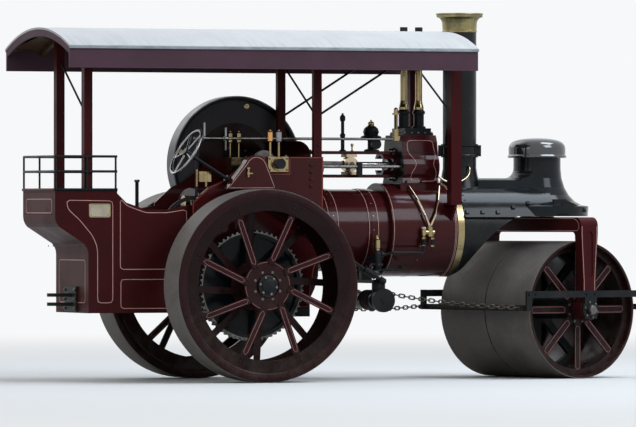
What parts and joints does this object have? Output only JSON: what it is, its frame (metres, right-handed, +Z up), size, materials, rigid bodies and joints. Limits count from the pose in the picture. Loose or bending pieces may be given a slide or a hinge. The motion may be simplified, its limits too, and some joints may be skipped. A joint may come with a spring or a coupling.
{
  "type": "steam road roller",
  "caption": "Steam road roller with a canopy, two smooth rear rolls, a split front roll steered in a fork, one cylinder and a flywheel.",
  "frame": {"origin": "on the ground under the middle of the machine's length, on its centre plane", "axes": "+X towards the front roll, +Y to the driver's left, +Z up"},
  "size_m": [5.6796, 2.11, 3.25],
  "materials": {
    "maroon": "gloss paint with lined edges",
    "black": "satin black paint",
    "brass": "polished, lightly tarnished",
    "copper": "smoke-stained and patinated",
    "steel": "bright machined",
    "roof": "pale grey, weathered",
    "rolled": "bare worn steel",
    "wood": "varnished boards"
  },
  "bodies": {
    "engine": {"boiler": "maroon", "boiler_band": "brass", "firebox": "maroon", "hornplate_right": "maroon", "hornplate_left": "maroon", "smokebox": "black", "headstock": "black", "chimney": "black", "chimney_cap": "copper", "cylinder_block": "maroon", "valve_chest": "black", "steam_fittings": "brass", "governor": "black", "motion_guide": "maroon", "motion_rods": "steel", "crank_bearings": "brass", "crank_guard": "maroon", "gear_cover": "maroon", "feed_pump": "black", "boiler_pipes": "steel", "tender_tank": "maroon", "bunker": "maroon", "coal_rails": "black", "tender_sides": "maroon", "controls": "black", "drawbar": "black", "rear_axle": "steel", "posts_rear": "maroon", "posts_middle": "maroon", "posts_front": "maroon", "canopy_roof": "roof", "canopy_boards": "maroon", "canopy_hoops": "wood", "canopy_stays": "black", "steering_bracket": "black", "hand_steering": "steel", "chain_barrel": "black"},
    "crank": {"crankshaft": "steel", "flywheel": "maroon"},
    "rear_roll_right": {"roll_rear_right": "rolled"},
    "rear_roll_left": {"roll_rear_left": "rolled"},
    "steered_fork": {"fork": "maroon", "front_axle": "steel", "scraper_frame": "black"},
    "front_roll_right": {"roll_front_right": "rolled"},
    "front_roll_left": {"roll_front_left": "rolled"}
  },
  "joints": [
    {"name": "rear_roll_right_spin", "type": "hinge", "parent": "engine", "child": "rear_roll_right", "pos_m": [-1.08479, -0.865, 0.838], "axis": [0, 1, 0], "continuous": true},
    {"name": "rear_roll_left_spin", "type": "hinge", "parent": "engine", "child": "rear_roll_left", "pos_m": [-1.08479, 0.865, 0.838], "axis": [0, 1, 0], "continuous": true},
    {"name": "crank_spin", "type": "hinge", "parent": "engine", "child": "crank", "pos_m": [-0.77479, 0, 1.9], "axis": [0, 1, 0], "continuous": true},
    {"name": "steering", "type": "hinge", "parent": "engine", "child": "steered_fork", "pos_m": [1.91521, 0, 1.6], "axis": [0, 0, 1], "range_deg": [-48.5, 15.5]},
    {"name": "front_roll_right_spin", "type": "hinge", "parent": "steered_fork", "child": "front_roll_right", "pos_m": [1.91521, 0, 0.61], "axis": [-0.284, 0.9588, 0], "continuous": true},
    {"name": "front_roll_left_spin", "type": "hinge", "parent": "steered_fork", "child": "front_roll_left", "pos_m": [1.91521, 0, 0.61], "axis": [-0.284, 0.9588, 0], "continuous": true}
  ]
}
